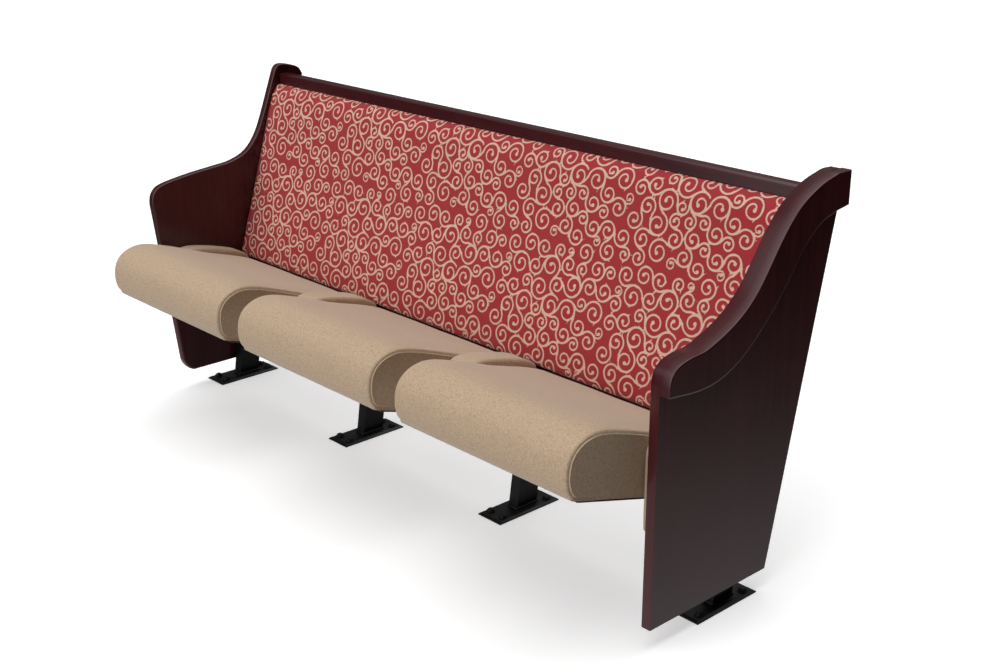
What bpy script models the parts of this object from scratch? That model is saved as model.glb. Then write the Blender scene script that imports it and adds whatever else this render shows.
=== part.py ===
"""Three-seat church pew: wooden ends, one long upholstered back, and three tip-up seats
that turn on four steel standards bolted to the floor.

Metres, +Z up. Sizes are worked out in the pew's own layout: x = 0 is the middle seat's
centre line, y = 0 is the front edge of the right-hand end, and z = 0 is the floor. An empty
then moves the whole pew so that the middle of its footprint stands at the world origin.
Left and right are those of somebody looking at the front of the pew.
"""
from math import cos, pi, radians, sin, sqrt, tan

import bmesh
import bpy
from mathutils import Vector

# Layout
PITCH = 0.5842                      # from one seat centre to the next, and between standards
SEATS = 3
GAP = 0.0003                        # air left between pieces that touch
SEAT_CENTRES = [PITCH * (i - (SEATS - 1) / 2) for i in range(SEATS)]
STANDARD_CENTRES = [PITCH * (i - SEATS / 2) for i in range(SEATS + 1)]

# Wooden ends
END_INNER = 0.891                   # half the distance between the two ends
END_THICK = 0.023
END_FOOT = 0.048                    # the ends stop this far above the floor
CAP_THICK = 0.024                   # moulding on the outside of the right end
REAR_SLOPE = radians(12)            # rake of the ends' rear edges
REAR_START = (0.377, 0.110)         # where the rear edge takes up that rake
LEFT_REAR_TOP = (0.515, 0.844)       # where the left end's rear edge starts to round over
RIGHT_TOP = 0.880
RIGHT_REAR = 0.5205
CAP_REAR = 0.527

# Back
BACK_TILT = radians(17)
BACK_AT = (0.316, 0.493)            # a point (y, z) on the upholstered front face
BACK_LOW = 0.352
BACK_HIGH = 0.8227
PAD_DEPTH = 0.024                   # measured level, front face to board
BOARD_DEPTH = 0.0188
BOARD_LOW = 0.328                   # the board runs on below the pad, behind the seats
BOARD_NOTCH = 0.001                 # room round each standard's head in the board's lower edge
PAD_SIDE_GAP = 0.003
PAD_ROLLS = ((BACK_LOW, 0.022, 0.014), (BACK_HIGH, 0.038, 0.018))   # edge, height, setback
RAIL_FRONT = 0.436
RAIL_DEPTH = 0.030
RAIL_HEIGHT = 0.030
RAIL_ROUND = 0.005

# Standards
FOOT_WIDTH = 0.076
FOOT_FRONT = 0.149
FOOT_REAR = 0.340
FOOT_THICK = 0.006
FOOT_EDGE = 0.0025                  # thickness at the rim, below the sloped edge
FOOT_SLOPE = 0.006                  # width of the sloped edge
BOLT_ROW = 0.042                    # between bolt centres across the pew
BOLT_COLUMN = 0.140                 # and from front to rear
BOLT_RADIUS = 0.005
WASHER_RADIUS = 0.011
STANDARD_WIDTH = 0.0288
STANDARD_LEAN = radians(8)
STANDARD_FRONT = 0.225
STANDARD_REAR = 0.288
ARM_TOP = 0.645
ARM_DEPTH = 0.026

# Seats
SEAT_WIDTH = 0.506
SEAT_TILT = radians(16.5)
SEAT_BASE = (0.053, 0.289)          # a point (y, z) on the cushion's flat underside
SEAT_FRONT = -0.132
SEAT_NOSE = -0.158
SEAT_REAR = 0.282
SEAT_ROUND = 0.008
PAN_THICK = 0.004
PAN_INSET = 0.005
PAN_FRONT = -0.122
PAN_REAR = 0.268

# Hinges
PIVOT = (0.190, 0.290)              # the hinge line (y, z)
PIN_RADIUS = 0.008
BUSH_RADIUS = 0.012
BUSH_FLANGE = 0.0015
BUSH_PLAY = 0.0001
BOSS_RADIUS = 0.020
HINGE_PLATE = 0.005
HINGE_RECESS = 0.004                # plate's outer face under the cushion's side
HINGE_FOOT = (0.128, 0.250)         # the plate's reach along the pan
POCKET_MARGIN = 0.0025
POCKET_DEPTH = 0.012
STOP_RADIUS = 0.009
STOP_ROD = 0.006
STOP_SWING = radians(66)            # the seat's travel between its two touches on the stop
STOP_REACH = (0.050, 0.068)         # sleeve, measured from the standard's centre

# Fillers between the seats
FILLER_FRONT = 0.048
FILLER_REAR = 0.272
FILLER_LOW = 0.222
FILLER_ROUND = 0.006
FILLER_SEAT_GAP = 0.004
HEAD_TOP = 0.3497
HEAD_MARGIN = 0.0006
PIN_HOLE = 0.010
ROD_HOLE = 0.0085

ROUND_STEPS = 16
BOLT_STEPS = 12

PEW_LEFT = STANDARD_CENTRES[0] - FOOT_WIDTH / 2
PEW_RIGHT = END_INNER + END_THICK + CAP_THICK
PEW_MIDDLE = ((PEW_LEFT + PEW_RIGHT) / 2, (SEAT_NOSE + CAP_REAR) / 2)

MATERIALS = {
    "wood": ((0.040, 0.013, 0.014, 1), 0.32, 0.0),
    "tan_fabric": ((0.46, 0.33, 0.22, 1), 0.92, 0.0),
    "scroll_fabric": ((0.38, 0.03, 0.05, 1), 0.90, 0.0),
    "black_steel": ((0.012, 0.012, 0.014, 1), 0.50, 0.6),
    "bright_steel": ((0.50, 0.50, 0.52, 1), 0.30, 1.0),
    "bolt_steel": ((0.06, 0.06, 0.065, 1), 0.35, 0.9),
    "seat_board": ((0.060, 0.016, 0.016, 1), 0.55, 0.0),
    "nylon": ((0.75, 0.74, 0.70, 1), 0.45, 0.0),
}


def clear_scene():
    for item in list(bpy.data.objects):
        bpy.data.objects.remove(item, do_unlink=True)


def material(name):
    found = bpy.data.materials.get(name)
    if found:
        return found
    colour, roughness, metallic = MATERIALS[name]
    made = bpy.data.materials.new(name)
    made.use_nodes = True
    shader = made.node_tree.nodes["Principled BSDF"]
    shader.inputs["Base Color"].default_value = colour
    shader.inputs["Roughness"].default_value = roughness
    shader.inputs["Metallic"].default_value = metallic
    made.diffuse_color = colour
    return made


def empty(name, place, parent=None):
    made = bpy.data.objects.new(name, None)
    made.empty_display_size = 0.05
    made.location = place
    made.parent = parent
    bpy.context.collection.objects.link(made)
    return made


def solid(name, bm, skin, parent, origin=(0, 0, 0)):
    """Turn a bmesh in pew coordinates into an object whose origin is at the given point."""
    bmesh.ops.translate(bm, verts=bm.verts, vec=-Vector(origin))
    bmesh.ops.recalc_face_normals(bm, faces=bm.faces)
    mesh = bpy.data.meshes.new(name)
    bm.to_mesh(mesh)
    bm.free()
    mesh.shade_smooth()
    mesh.set_sharp_from_angle(angle=radians(35))
    mesh.materials.append(material(skin))
    made = bpy.data.objects.new(name, mesh)
    made.parent = parent
    made.location = Vector(origin) - (parent_place(parent))
    bpy.context.collection.objects.link(made)
    return made


def parent_place(parent):
    """A parent's own place in pew coordinates: the outermost empty holds those coordinates."""
    return Vector(parent.location) if parent.parent else Vector((0, 0, 0))


def cut(target, name, bm):
    """Take a bmesh, in pew coordinates, away from a solid."""
    cutter = solid(target.name + name, bm, "black_steel", target.parent)
    cutter.hide_render = True
    cutter.display_type = "WIRE"
    cutter.hide_set(True)
    hole = target.modifiers.new(name, "BOOLEAN")
    hole.operation = "DIFFERENCE"
    hole.solver = "EXACT"
    hole.object = cutter


def curve(points, steps=4):
    """A smooth line through a few points, as a Catmull-Rom spline."""
    ends = [Vector(p) for p in points]
    run = [ends[0] * 2 - ends[1]] + ends + [ends[-1] * 2 - ends[-2]]
    line = []
    for a, b, c, d in zip(run, run[1:], run[2:], run[3:]):
        for step in range(steps):
            t = step / steps
            line.append((b * 2 + (c - a) * t + (a * 2 - b * 5 + c * 4 - d) * t ** 2
                         + (b * 3 - a - c * 3 + d) * t ** 3) / 2)
    return [tuple(p) for p in line] + [tuple(ends[-1])]


def arc(centre, radius, start, end, steps):
    """Points on an arc of a circle in the (y, z) plane, angles in degrees."""
    turns = [radians(start + (end - start) * i / steps) for i in range(steps + 1)]
    return [(centre[0] + radius * cos(a), centre[1] + radius * sin(a)) for a in turns]


def slab(outline, low, high):
    """Extrude a closed (y, z) outline along x."""
    bm = bmesh.new()
    face = bm.faces.new([bm.verts.new((low, y, z)) for y, z in outline])
    pushed = bmesh.ops.extrude_face_region(bm, geom=[face])
    moved = [v for v in pushed["geom"] if isinstance(v, bmesh.types.BMVert)]
    bmesh.ops.translate(bm, verts=moved, vec=(high - low, 0, 0))
    return bm


def padded_slab(outline, low, high, edge, steps=3):
    """Extrude a (y, z) outline along x with both side edges rounded over."""
    bm = bmesh.new()
    ys = [p[0] for p in outline]
    zs = [p[1] for p in outline]
    middle = ((min(ys) + max(ys)) / 2, (min(zs) + max(zs)) / 2)
    half = ((max(ys) - min(ys)) / 2, (max(zs) - min(zs)) / 2)
    turns = [pi / 2 * i / steps for i in range(steps + 1)]
    sections = [(low + edge * (1 - sin(t)), edge * (1 - cos(t))) for t in reversed(turns)]
    sections += [(high - edge * (1 - sin(t)), edge * (1 - cos(t))) for t in turns]
    rings = []
    for x, inset in sections:
        scale = (1 - inset / half[0], 1 - inset / half[1])
        ring = []
        for y, z in outline:
            place = (x, middle[0] + (y - middle[0]) * scale[0], middle[1] + (z - middle[1]) * scale[1])
            ring.append(bm.verts.new(place))
        rings.append(ring)
    for near, far in zip(rings, rings[1:]):
        for i in range(len(outline)):
            j = (i + 1) % len(outline)
            bm.faces.new((near[i], near[j], far[j], far[i]))
    bm.faces.new(rings[0])
    bm.faces.new(rings[-1])
    return bm


def turned(profile, centre, axis="X", steps=ROUND_STEPS):
    """Turn a profile of (along, radius) points about an axis through the centre."""
    along = Vector((1, 0, 0)) if axis == "X" else Vector((0, 0, 1))
    across = Vector((0, 0, 1)) if axis == "X" else Vector((1, 0, 0))
    bm = bmesh.new()
    verts = [bm.verts.new(Vector(centre) + along * a + across * r) for a, r in profile]
    edges = [bm.edges.new(pair) for pair in zip(verts, verts[1:])]
    if profile[0][1] > 0:
        edges.append(bm.edges.new((verts[-1], verts[0])))
    bmesh.ops.spin(bm, geom=verts + edges, cent=centre, axis=along, angle=2 * pi,
                   steps=steps, use_merge=True)
    bmesh.ops.remove_doubles(bm, verts=bm.verts, dist=0.00001)
    return bm


def rod(low, high, centre, radius):
    """A plain round bar along x, from low to high."""
    return turned([(low, 0), (low, radius), (high, radius), (high, 0)], (0, *centre))


# Shapes in the (y, z) plane

def rear_edge(z):
    return REAR_START[0] + tan(REAR_SLOPE) * (z - REAR_START[1])


def back_face(z):
    return BACK_AT[0] + tan(BACK_TILT) * (z - BACK_AT[1])


def right_top():
    """The right end's upper edge, front to rear: rounded nose, arm rest, and rising sweep."""
    nose = [(0.002, 0.541), (0.003, 0.567), (0.011, 0.586), (0.029, 0.599)]
    sweep = [(0.060, 0.606), (0.110, 0.612), (0.190, 0.645), (0.250, 0.693), (0.318, 0.783),
             (0.368, 0.834), (0.430, 0.866), (0.485, RIGHT_TOP)]
    return curve(nose + sweep) + [(CAP_REAR, RIGHT_TOP)]


def right_end_outline():
    rear = [(rear_edge(0.79), 0.79), REAR_START, (0.363, END_FOOT), (0.002, END_FOOT)]
    return right_top()[:-1] + [(RIGHT_REAR, RIGHT_TOP)] + rear


def cap_outline():
    """A band that follows the right end's upper edge, with a squared rear tip."""
    lower = [(0.485, 0.803), (0.440, 0.789), (0.392, 0.754), (0.351, 0.702), (0.300, 0.642),
             (0.229, 0.579), (0.160, 0.543), (0.090, 0.533), (0.002, 0.541)]
    return right_top() + [(CAP_REAR, 0.809)] + curve(lower)[:-1]


def left_end_outline():
    """The left end: a slimmer arm rest and a small hooked top."""
    toe = [(0.095, END_FOOT), (0.079, 0.056), (0.067, 0.071), (0.062, 0.084)]
    arm = [(0.010, 0.520), (0.007, 0.552), (0.014, 0.577), (0.040, 0.596), (0.120, 0.611),
           (0.200, 0.620), (0.264, 0.628), (0.316, 0.650), (0.352, 0.692), (0.378, 0.748),
           (0.411, 0.834), (0.426, 0.869), (0.445, 0.878), (0.480, 0.872), (0.503, 0.862),
           LEFT_REAR_TOP]
    return curve(toe, 2) + curve(arm) + [REAR_START, (0.363, END_FOOT)]


def pad_front(z):
    """The upholstered face, rolled back along its top and bottom edges."""
    setback = 0
    for edge, height, depth in PAD_ROLLS:
        reach = max(0, 1 - abs(z - edge) / height)
        setback += depth * (1 - sqrt(1 - reach ** 2))
    return back_face(z) + setback


def pad_outline():
    heights = []
    for edge, height, _ in PAD_ROLLS:
        inward = height if edge == BACK_LOW else -height
        heights += [edge + inward * (1 - cos(pi / 2 * i / 4)) for i in range(5)]
    front = [(pad_front(z), z) for z in sorted(heights)]
    depth = PAD_DEPTH - GAP
    return front + [(back_face(BACK_HIGH) + depth, BACK_HIGH), (back_face(BACK_LOW) + depth, BACK_LOW)]


def board_outline():
    near = PAD_DEPTH
    far = PAD_DEPTH + BOARD_DEPTH
    ends = ((near, BACK_HIGH), (far, BACK_HIGH), (far, BOARD_LOW), (near, BOARD_LOW))
    return [(back_face(z) + depth, z) for depth, z in ends]


def rail_outline():
    low = BACK_HIGH + GAP
    high = low + RAIL_HEIGHT
    rear = RAIL_FRONT + RAIL_DEPTH
    corner = RAIL_ROUND
    rear_round = arc((rear - corner, high - corner), corner, 0, 90, 4)
    front_round = arc((RAIL_FRONT + corner, high - corner), corner, 90, 180, 4)
    return [(RAIL_FRONT, low), (rear, low)] + rear_round + front_round


def seat_base(y):
    return SEAT_BASE[1] - tan(SEAT_TILT) * (y - SEAT_BASE[0])


def under_seat(y, drop):
    """A point below the cushion's underside, square to it."""
    return (y - drop * sin(SEAT_TILT), seat_base(y) - drop * cos(SEAT_TILT))


def seat_outline():
    """Flat underside, bull nose, and a top that falls towards the back."""
    skin = [(SEAT_FRONT, seat_base(SEAT_FRONT)), (-0.150, 0.360), (SEAT_NOSE, 0.394),
            (-0.151, 0.432), (-0.128, 0.457), (-0.092, 0.469), (-0.050, 0.465), (0.020, 0.444),
            (0.110, 0.411), (0.209, 0.379), (0.252, 0.362), (0.275, 0.346), (SEAT_REAR, 0.325)]
    return curve(skin, 3) + [(SEAT_REAR - 0.004, seat_base(SEAT_REAR) + 0.004)]


def pan_outline():
    ends = ((PAN_FRONT, GAP), (PAN_REAR, GAP), (PAN_REAR, GAP + PAN_THICK), (PAN_FRONT, GAP + PAN_THICK))
    return [under_seat(y, drop) for y, drop in ends]


def stop_place():
    """The stop lies under the pan, half the swing ahead of the hinge."""
    depth = (PIVOT[1] - seat_base(PIVOT[0])) * cos(SEAT_TILT) + PAN_THICK + 2 * GAP + STOP_RADIUS
    forward = depth * tan(STOP_SWING / 2)
    return (PIVOT[0] - depth * sin(SEAT_TILT) - forward * cos(SEAT_TILT),
            PIVOT[1] - depth * cos(SEAT_TILT) + forward * sin(SEAT_TILT))


def hinge_outline(margin=0.0):
    """A boss round the pin, carried by a foot along the pan. A margin gives its pocket."""
    front, rear = HINGE_FOOT
    corners = [under_seat(rear + margin, margin), under_seat(rear + margin, -0.010 - margin)]
    boss = arc(PIVOT, BOSS_RADIUS + margin, 20, 135, 8)
    return corners + boss + [under_seat(front - margin, -0.010 - margin), under_seat(front - margin, margin)]


def standard_outline():
    """Leaning column, head that reaches forward to the hinge, and arm behind the back board."""
    lean = tan(STANDARD_LEAN)
    low = FOOT_THICK + GAP
    board = PAD_DEPTH + BOARD_DEPTH + GAP
    stop = stop_place()
    nose = arc(PIVOT, 0.026, 100, 160, 4) + arc(stop, 0.015, 170, 270, 4)
    return [(STANDARD_FRONT, low), (STANDARD_REAR, low), (STANDARD_REAR + lean * 0.300, 0.300),
            (back_face(0.380) + board + ARM_DEPTH, 0.380),
            (back_face(ARM_TOP) + board + ARM_DEPTH, ARM_TOP), (back_face(ARM_TOP) + board, ARM_TOP),
            (back_face(HEAD_TOP) + board, HEAD_TOP), (0.225, HEAD_TOP)] + nose + [
            (STANDARD_FRONT + lean * 0.222, 0.222)]


def filler_outline():
    top = [(FILLER_FRONT, 0.385), (0.057, 0.409), (0.086, 0.419), (0.141, 0.412), (0.217, 0.392),
           (0.252, 0.377), (FILLER_REAR - 0.003, 0.361), (FILLER_REAR, 0.335)]
    return [(FILLER_FRONT, FILLER_LOW)] + curve(top, 3) + [(FILLER_REAR, FILLER_LOW)]


# Pieces

def wooden_ends(pew):
    inner = END_INNER
    outer = END_INNER + END_THICK
    solid("left_end_panel", slab(left_end_outline(), -outer, -inner), "wood", pew)
    solid("right_end_panel", slab(right_end_outline(), inner, outer), "wood", pew)
    solid("right_end_cap", slab(cap_outline(), outer + GAP, outer + CAP_THICK), "wood", pew)


def back(pew):
    half = END_INNER - GAP
    pad_half = END_INNER - PAD_SIDE_GAP
    board = solid("back_board", slab(board_outline(), -half, half), "wood", pew)
    notch_half = STANDARD_WIDTH / 2 + BOARD_NOTCH
    low = BOARD_LOW - 0.010
    high = HEAD_TOP + BOARD_NOTCH
    notch = [(0.270, low), (0.330, low), (0.330, high), (0.270, high)]
    for index, centre in enumerate(STANDARD_CENTRES):
        cut(board, f"_notch_{index + 1}", slab(notch, centre - notch_half, centre + notch_half))
    solid("back_pad", slab(pad_outline(), -pad_half, pad_half), "scroll_fabric", pew)
    solid("top_rail", slab(rail_outline(), -half, half), "wood", pew)


def bolt_places(centre):
    middle = (FOOT_FRONT + FOOT_REAR) / 2
    return [(centre + side * BOLT_ROW / 2, middle + end * BOLT_COLUMN / 2)
            for end in (-1, 1) for side in (-1, 1)]


def plate_mesh(centre):
    """A flat plate whose top slopes down to a thin rim."""
    bm = bmesh.new()
    rings = []
    for z, inset in ((0, 0), (FOOT_EDGE, 0), (FOOT_THICK, FOOT_SLOPE)):
        half = FOOT_WIDTH / 2 - inset
        corners = ((-half, FOOT_FRONT + inset), (half, FOOT_FRONT + inset),
                   (half, FOOT_REAR - inset), (-half, FOOT_REAR - inset))
        rings.append([bm.verts.new((centre + x, y, z)) for x, y in corners])
    for lower, upper in zip(rings, rings[1:]):
        for i in range(4):
            j = (i + 1) % 4
            bm.faces.new((lower[i], lower[j], upper[j], upper[i]))
    bm.faces.new(rings[0])
    bm.faces.new(rings[-1])
    return bm


def foot(pew, number, centre):
    """A floor plate with four clear holes, and the anchor bolts that pass through them."""
    plate = solid(f"foot_plate_{number}", plate_mesh(centre), "black_steel", pew)
    clear = BOLT_RADIUS + 0.0007
    hole = [(-0.002, 0), (-0.002, clear), (FOOT_THICK + 0.002, clear), (FOOT_THICK + 0.002, 0)]
    seat = FOOT_THICK + GAP
    bolt = [(GAP, 0), (GAP, BOLT_RADIUS), (seat, BOLT_RADIUS), (seat, WASHER_RADIUS),
            (seat + 0.002, WASHER_RADIUS), (seat + 0.002, 0.0085), (seat + 0.0055, 0.008),
            (seat + 0.0072, 0.0055), (seat + 0.0076, 0)]
    for index, (x, y) in enumerate(bolt_places(centre)):
        cut(plate, f"_hole_{index + 1}", turned(hole, (x, y, 0), "Z", BOLT_STEPS))
        origin = (x, y, 0)
        name = f"anchor_bolt_{number}_{index + 1}"
        solid(name, turned(bolt, origin, "Z", BOLT_STEPS), "bolt_steel", pew, origin)


def standard(pew, number, centre, sides):
    """A steel standard with its hinge pin and stop rod; sides says where it carries a seat."""
    half = STANDARD_WIDTH / 2
    stop = stop_place()
    post = solid(f"standard_{number}", slab(standard_outline(), centre - half, centre + half),
                 "black_steel", pew)
    cut(post, "_pin_hole", rod(centre - 0.03, centre + 0.03, PIVOT, PIN_RADIUS + GAP))
    cut(post, "_rod_hole", rod(centre - 0.03, centre + 0.03, stop, STOP_ROD + GAP))
    seat_side = PITCH / 2 - SEAT_WIDTH / 2
    reach = {side: seat_side + 0.010 if side in sides else half for side in (-1, 1)}
    pin = rod(centre - reach[-1], centre + reach[1], PIVOT, PIN_RADIUS)
    solid(f"pivot_pin_{number}", pin, "bright_steel", pew, (centre, *PIVOT))
    near, far = STOP_REACH
    low = [(-far, 0), (-far, STOP_RADIUS), (-near, STOP_RADIUS), (-near, STOP_ROD)]
    high = [(near, STOP_ROD), (near, STOP_RADIUS), (far, STOP_RADIUS), (far, 0)]
    profile = (low if -1 in sides else [(-half, 0), (-half, STOP_ROD)])
    profile = profile + (high if 1 in sides else [(half, STOP_ROD), (half, 0)])
    solid(f"stop_rod_{number}", turned(profile, (centre, *stop)), "black_steel", pew, (centre, *stop))


def filler(pew, number, centre, sides):
    """An upholstered block that hides a standard's head between two seats."""
    near_seat = PITCH / 2 - SEAT_WIDTH / 2 - FILLER_SEAT_GAP
    wall = END_INNER - GAP
    low = centre - near_seat if -1 in sides else -wall
    high = centre + near_seat if 1 in sides else wall
    block = solid(f"filler_{number}", padded_slab(filler_outline(), low, high, FILLER_ROUND),
                  "tan_fabric", pew)
    clear = STANDARD_WIDTH / 2 + HEAD_MARGIN
    head_front = stop_place()[0] - 0.015 - 0.004
    head = [(head_front, 0.150), (0.320, 0.150), (0.320, HEAD_TOP + 0.001), (0.200, HEAD_TOP + 0.001),
            (head_front, 0.300)]
    slot_low = centre - clear if -1 in sides else centre - 0.05
    slot_high = centre + clear if 1 in sides else centre + 0.05
    cut(block, "_slot", slab(head, slot_low, slot_high))
    for side in sides:
        ends = sorted((centre + side * 0.005, centre + side * 0.06))
        cut(block, f"_pin_hole_{side}", rod(*ends, PIVOT, PIN_HOLE))
        cut(block, f"_rod_hole_{side}", rod(*ends, stop_place(), ROD_HOLE))


def seat(pew, number, centre):
    """A tip-up seat: its parent empty lies on the hinge line."""
    origin = (centre, *PIVOT)
    pivot = empty(f"seat_{number}_pivot", origin, pew)
    half = SEAT_WIDTH / 2
    cushion = solid(f"seat_cushion_{number}",
                    padded_slab(seat_outline(), centre - half, centre + half, SEAT_ROUND),
                    "tan_fabric", pivot, origin)
    pan_half = half - PAN_INSET
    solid(f"seat_pan_{number}", slab(pan_outline(), centre - pan_half, centre + pan_half),
          "seat_board", pivot, origin)
    for side, word in ((-1, "left"), (1, "right")):
        outer = half - HINGE_RECESS
        plate_ends = sorted((centre + side * (outer - HINGE_PLATE), centre + side * outer))
        plate = solid(f"hinge_plate_{number}_{word}", slab(hinge_outline(), *plate_ends),
                      "black_steel", pivot, origin)
        bore = sorted((centre + side * (half - 0.03), centre + side * (half + 0.01)))
        cut(plate, "_bore", rod(*bore, PIVOT, BUSH_RADIUS + GAP))
        pocket_ends = sorted((centre + side * (half - POCKET_DEPTH), centre + side * (half + 0.005)))
        cut(cushion, f"_pocket_{word}", slab(hinge_outline(POCKET_MARGIN), *pocket_ends))
        bore_radius = (PIN_RADIUS + BUSH_PLAY) / cos(pi / ROUND_STEPS)
        inner = outer - HINGE_PLATE - 0.002
        face = outer + GAP
        rim = face + BUSH_FLANGE
        ring = [(inner, bore_radius), (inner, BUSH_RADIUS), (face, BUSH_RADIUS),
                (face, BUSH_RADIUS + 0.003), (rim, BUSH_RADIUS + 0.003), (rim, bore_radius)]
        sleeve = turned([(side * a, r) for a, r in ring], origin)
        solid(f"bushing_{number}_{word}", sleeve, "nylon", pivot, origin)


def build():
    clear_scene()
    pew = empty("pew", (-PEW_MIDDLE[0], -PEW_MIDDLE[1], 0))
    wooden_ends(pew)
    back(pew)
    last = len(STANDARD_CENTRES) - 1
    for index, centre in enumerate(STANDARD_CENTRES):
        sides = [side for side in (-1, 1) if 0 <= index + side <= last]
        foot(pew, index + 1, centre)
        standard(pew, index + 1, centre, sides)
        filler(pew, index + 1, centre, sides)
    for index, centre in enumerate(SEAT_CENTRES):
        seat(pew, index + 1, centre)


build()
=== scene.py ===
"""Looks for the three-seat church pew: stained wooden ends with rounded edges, simulated seat,
filler and back covers, a scroll-patterned back cloth, and black steel standards.

Metres, +Z up, and left and right are those of somebody looking at the front of the pew.
"""

import math
import random

import bmesh
import bpy
import numpy as np
from mathutils import Matrix, Vector, kdtree
from mathutils.bvhtree import BVHTree


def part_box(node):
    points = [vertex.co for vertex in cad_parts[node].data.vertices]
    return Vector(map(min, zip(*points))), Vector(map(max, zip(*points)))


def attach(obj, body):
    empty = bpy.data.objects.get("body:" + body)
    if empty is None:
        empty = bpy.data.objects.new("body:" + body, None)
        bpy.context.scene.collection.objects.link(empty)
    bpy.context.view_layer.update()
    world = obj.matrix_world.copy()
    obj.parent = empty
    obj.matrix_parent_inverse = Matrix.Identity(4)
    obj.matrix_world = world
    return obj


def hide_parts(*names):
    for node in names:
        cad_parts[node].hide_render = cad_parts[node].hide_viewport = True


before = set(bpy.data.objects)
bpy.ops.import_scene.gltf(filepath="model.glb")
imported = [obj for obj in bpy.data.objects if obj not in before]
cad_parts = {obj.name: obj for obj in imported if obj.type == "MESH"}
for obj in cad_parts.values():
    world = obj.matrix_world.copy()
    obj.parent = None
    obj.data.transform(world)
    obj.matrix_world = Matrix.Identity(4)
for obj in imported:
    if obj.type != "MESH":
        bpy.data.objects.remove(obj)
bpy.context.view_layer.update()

SEATS = 3
SIDES = {"left": -1, "right": 1}
STANDARDS = SEATS + 1

# Camera: a 36 mm wide sensor, standing right of the pew and looking down on its front
CAMERA_AT = (2.4468, -2.0144, 1.5276)
CAMERA_TURN = math.radians(47.094)
CAMERA_DIP = math.radians(20.0035)
CAMERA_LENS = 50.97
CAMERA_SENSOR = 36

# Wood
LEFT_ROUND = 0.0045                 # rounding of the left end's edges
RIGHT_ROUND = 0.0016
CAP_ROUND = 0.0024
END_CELL = 0.0065                   # spacing of the ends' outlines, over their edges
RAIL_CELL = 0.0015
RAIL_END_ROUND = 0.0003
BOARD_ROUND = 0.0008
NOTCH_MARGIN = 0.001                # room round a standard's head in the back board
CUT_OVERRUN = 0.01                  # how far a cutter runs past what it cuts
CREASE = math.radians(50)           # edges that turn further than this are shaded sharp
CORNER = math.radians(38)           # an outline keeps a corner that turns further than this
BLUNT = math.radians(60)            # the same for the rail and the pad, which are rounder

WOOD_DARK = (0.034, 0.0040, 0.0058, 1)
WOOD_MIDDLE = (0.052, 0.0060, 0.0084, 1)
WOOD_LIGHT = (0.072, 0.0098, 0.0118, 1)
WOOD_PORE = (0.013, 0.0022, 0.0031, 1)

# Covers
SEAT_VOXEL = 0.0068
SEAT_SHRINK = 0.0028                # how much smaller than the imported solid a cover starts
SEAT_EDGE = 0.0060
SEAT_CAP = 0.0060                   # the furthest that a point may swell
SEAT_CELL = 0.0095                  # spacing of the finished cover's own mesh, over its edge
PAN_GAP = 0.0003                    # between a cover's underside and its pan
PAN_NORMAL = (-0.28, 0.96)          # (y, z), near enough to sort the pan's corners by
HINGE_POCKET = 0.0025               # room round a hinge plate in the cover
HINGE_INWARD = 0.016                # how far its pocket reaches in from just outside the cover
HINGE_OUTWARD = 0.004
SEAM_RADIUS = 0.0007
SEAM_SUNK = 0.0005                  # depth of the seam's centre line under the cover
SEAM_ROOT = 0.022                   # how far inside the seat's edge the search for the seam starts
FILLER_VOXEL = 0.0045
FILLER_SHRINK = 0.0018
FILLER_EDGE = 0.0065
FILLER_CAP = 0.0045
FILLER_CELL = 0.0090
FILLER_SECTION = 0.0095             # how far in from a filler's side its outline is taken
POST_ROOM = 0.0015                  # room round a standard's head in a filler, and at its sides
POST_SIDE_ROOM = 0.0010
CORNER_CLEAR = 0.013                # keeps a rounded edge from folding over at a corner
PAD_VOXEL = 0.0105
PAD_CAP = 0.0045
PAD_CELL = 0.0032                   # spacing of the back cloth's own mesh
PAD_EDGE = 0.0018
PAD_START = 0.004
PAD_OUTLINE = 0.002                 # spacings along the pad's rounded outline and its flat rear
PAD_REAR_CELL = 0.06
PAD_COARSE_EDGE = 0.008             # edge rounding of the copy that is simulated
PRESSURE = 4
FRAMES = 20
EVENING = 24                        # passes that even out a simulated swelling
NEIGHBOURS = 8                      # simulated points that each finished point follows
NEAREST = 0.003                     # keeps the very nearest of them from counting for all

# Metal: how far each kind of piece has its edges eased
PLATE_EDGE = 0.0006
POST_EDGE = 0.0012
ROD_EDGE = 0.0005
BOLT_EDGE = 0.0004
BUSHING_EDGE = 0.0003
PAN_EDGE = 0.0012
BOLTS = 4                           # in each foot plate

# Fixings
ARM_SCREWS = (0.47, 0.60)           # heights of the screws through each arm
ARM_HEAD = (0.0065, 0.0034, 0.0024)         # a screw head's radius, height and driver hollow
PAN_HEAD = (0.0055, 0.0022, 0.0018)
PAN_SCREWS_ACROSS = (0.08, 0.5, 0.92)       # shares of the pan's width and depth
PAN_SCREWS_ALONG = (0.07, 0.93)
FOOT_BAND = 0.002                   # a column's foot is measured this near its plate
WELD_STEP = 0.003
WELD_RADIUS = 0.0034
WELD_RAISE = 0.0012                 # height of the bead's centre line over the plate

# Studio light: where it comes from, and how bright it is
STRIP = 2.45                        # a long soft panel that reaches over the pew from the front
STRIP_OVER = (0.0, -0.50, 0.87)
STRIP_REACH = (-0.10, 0.70)
STRIP_SIDES = (0.20, 0.52)
STRIP_LEFT = 0.06
PATCH = 0.40                        # one lamp, for the highlights on the cap
PATCH_FROM = (-0.60, -0.55, 0.58)
PATCH_EDGE = (0.93, 0.99)
HORIZON = 0.05
SKY = 0.16
SKY_EDGE = (-0.05, 0.35)
RIGHT_SHADE = 0.15                  # the share of the sky's light that the right-hand side keeps
SHADE_EDGE = (-0.3, 0.5)
GROUND = 0.72                       # light thrown up by the floor, strongest straight down
GROUND_EDGE = (-0.60, -0.32)
FLOOR_GLOW = 0.35

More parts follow.
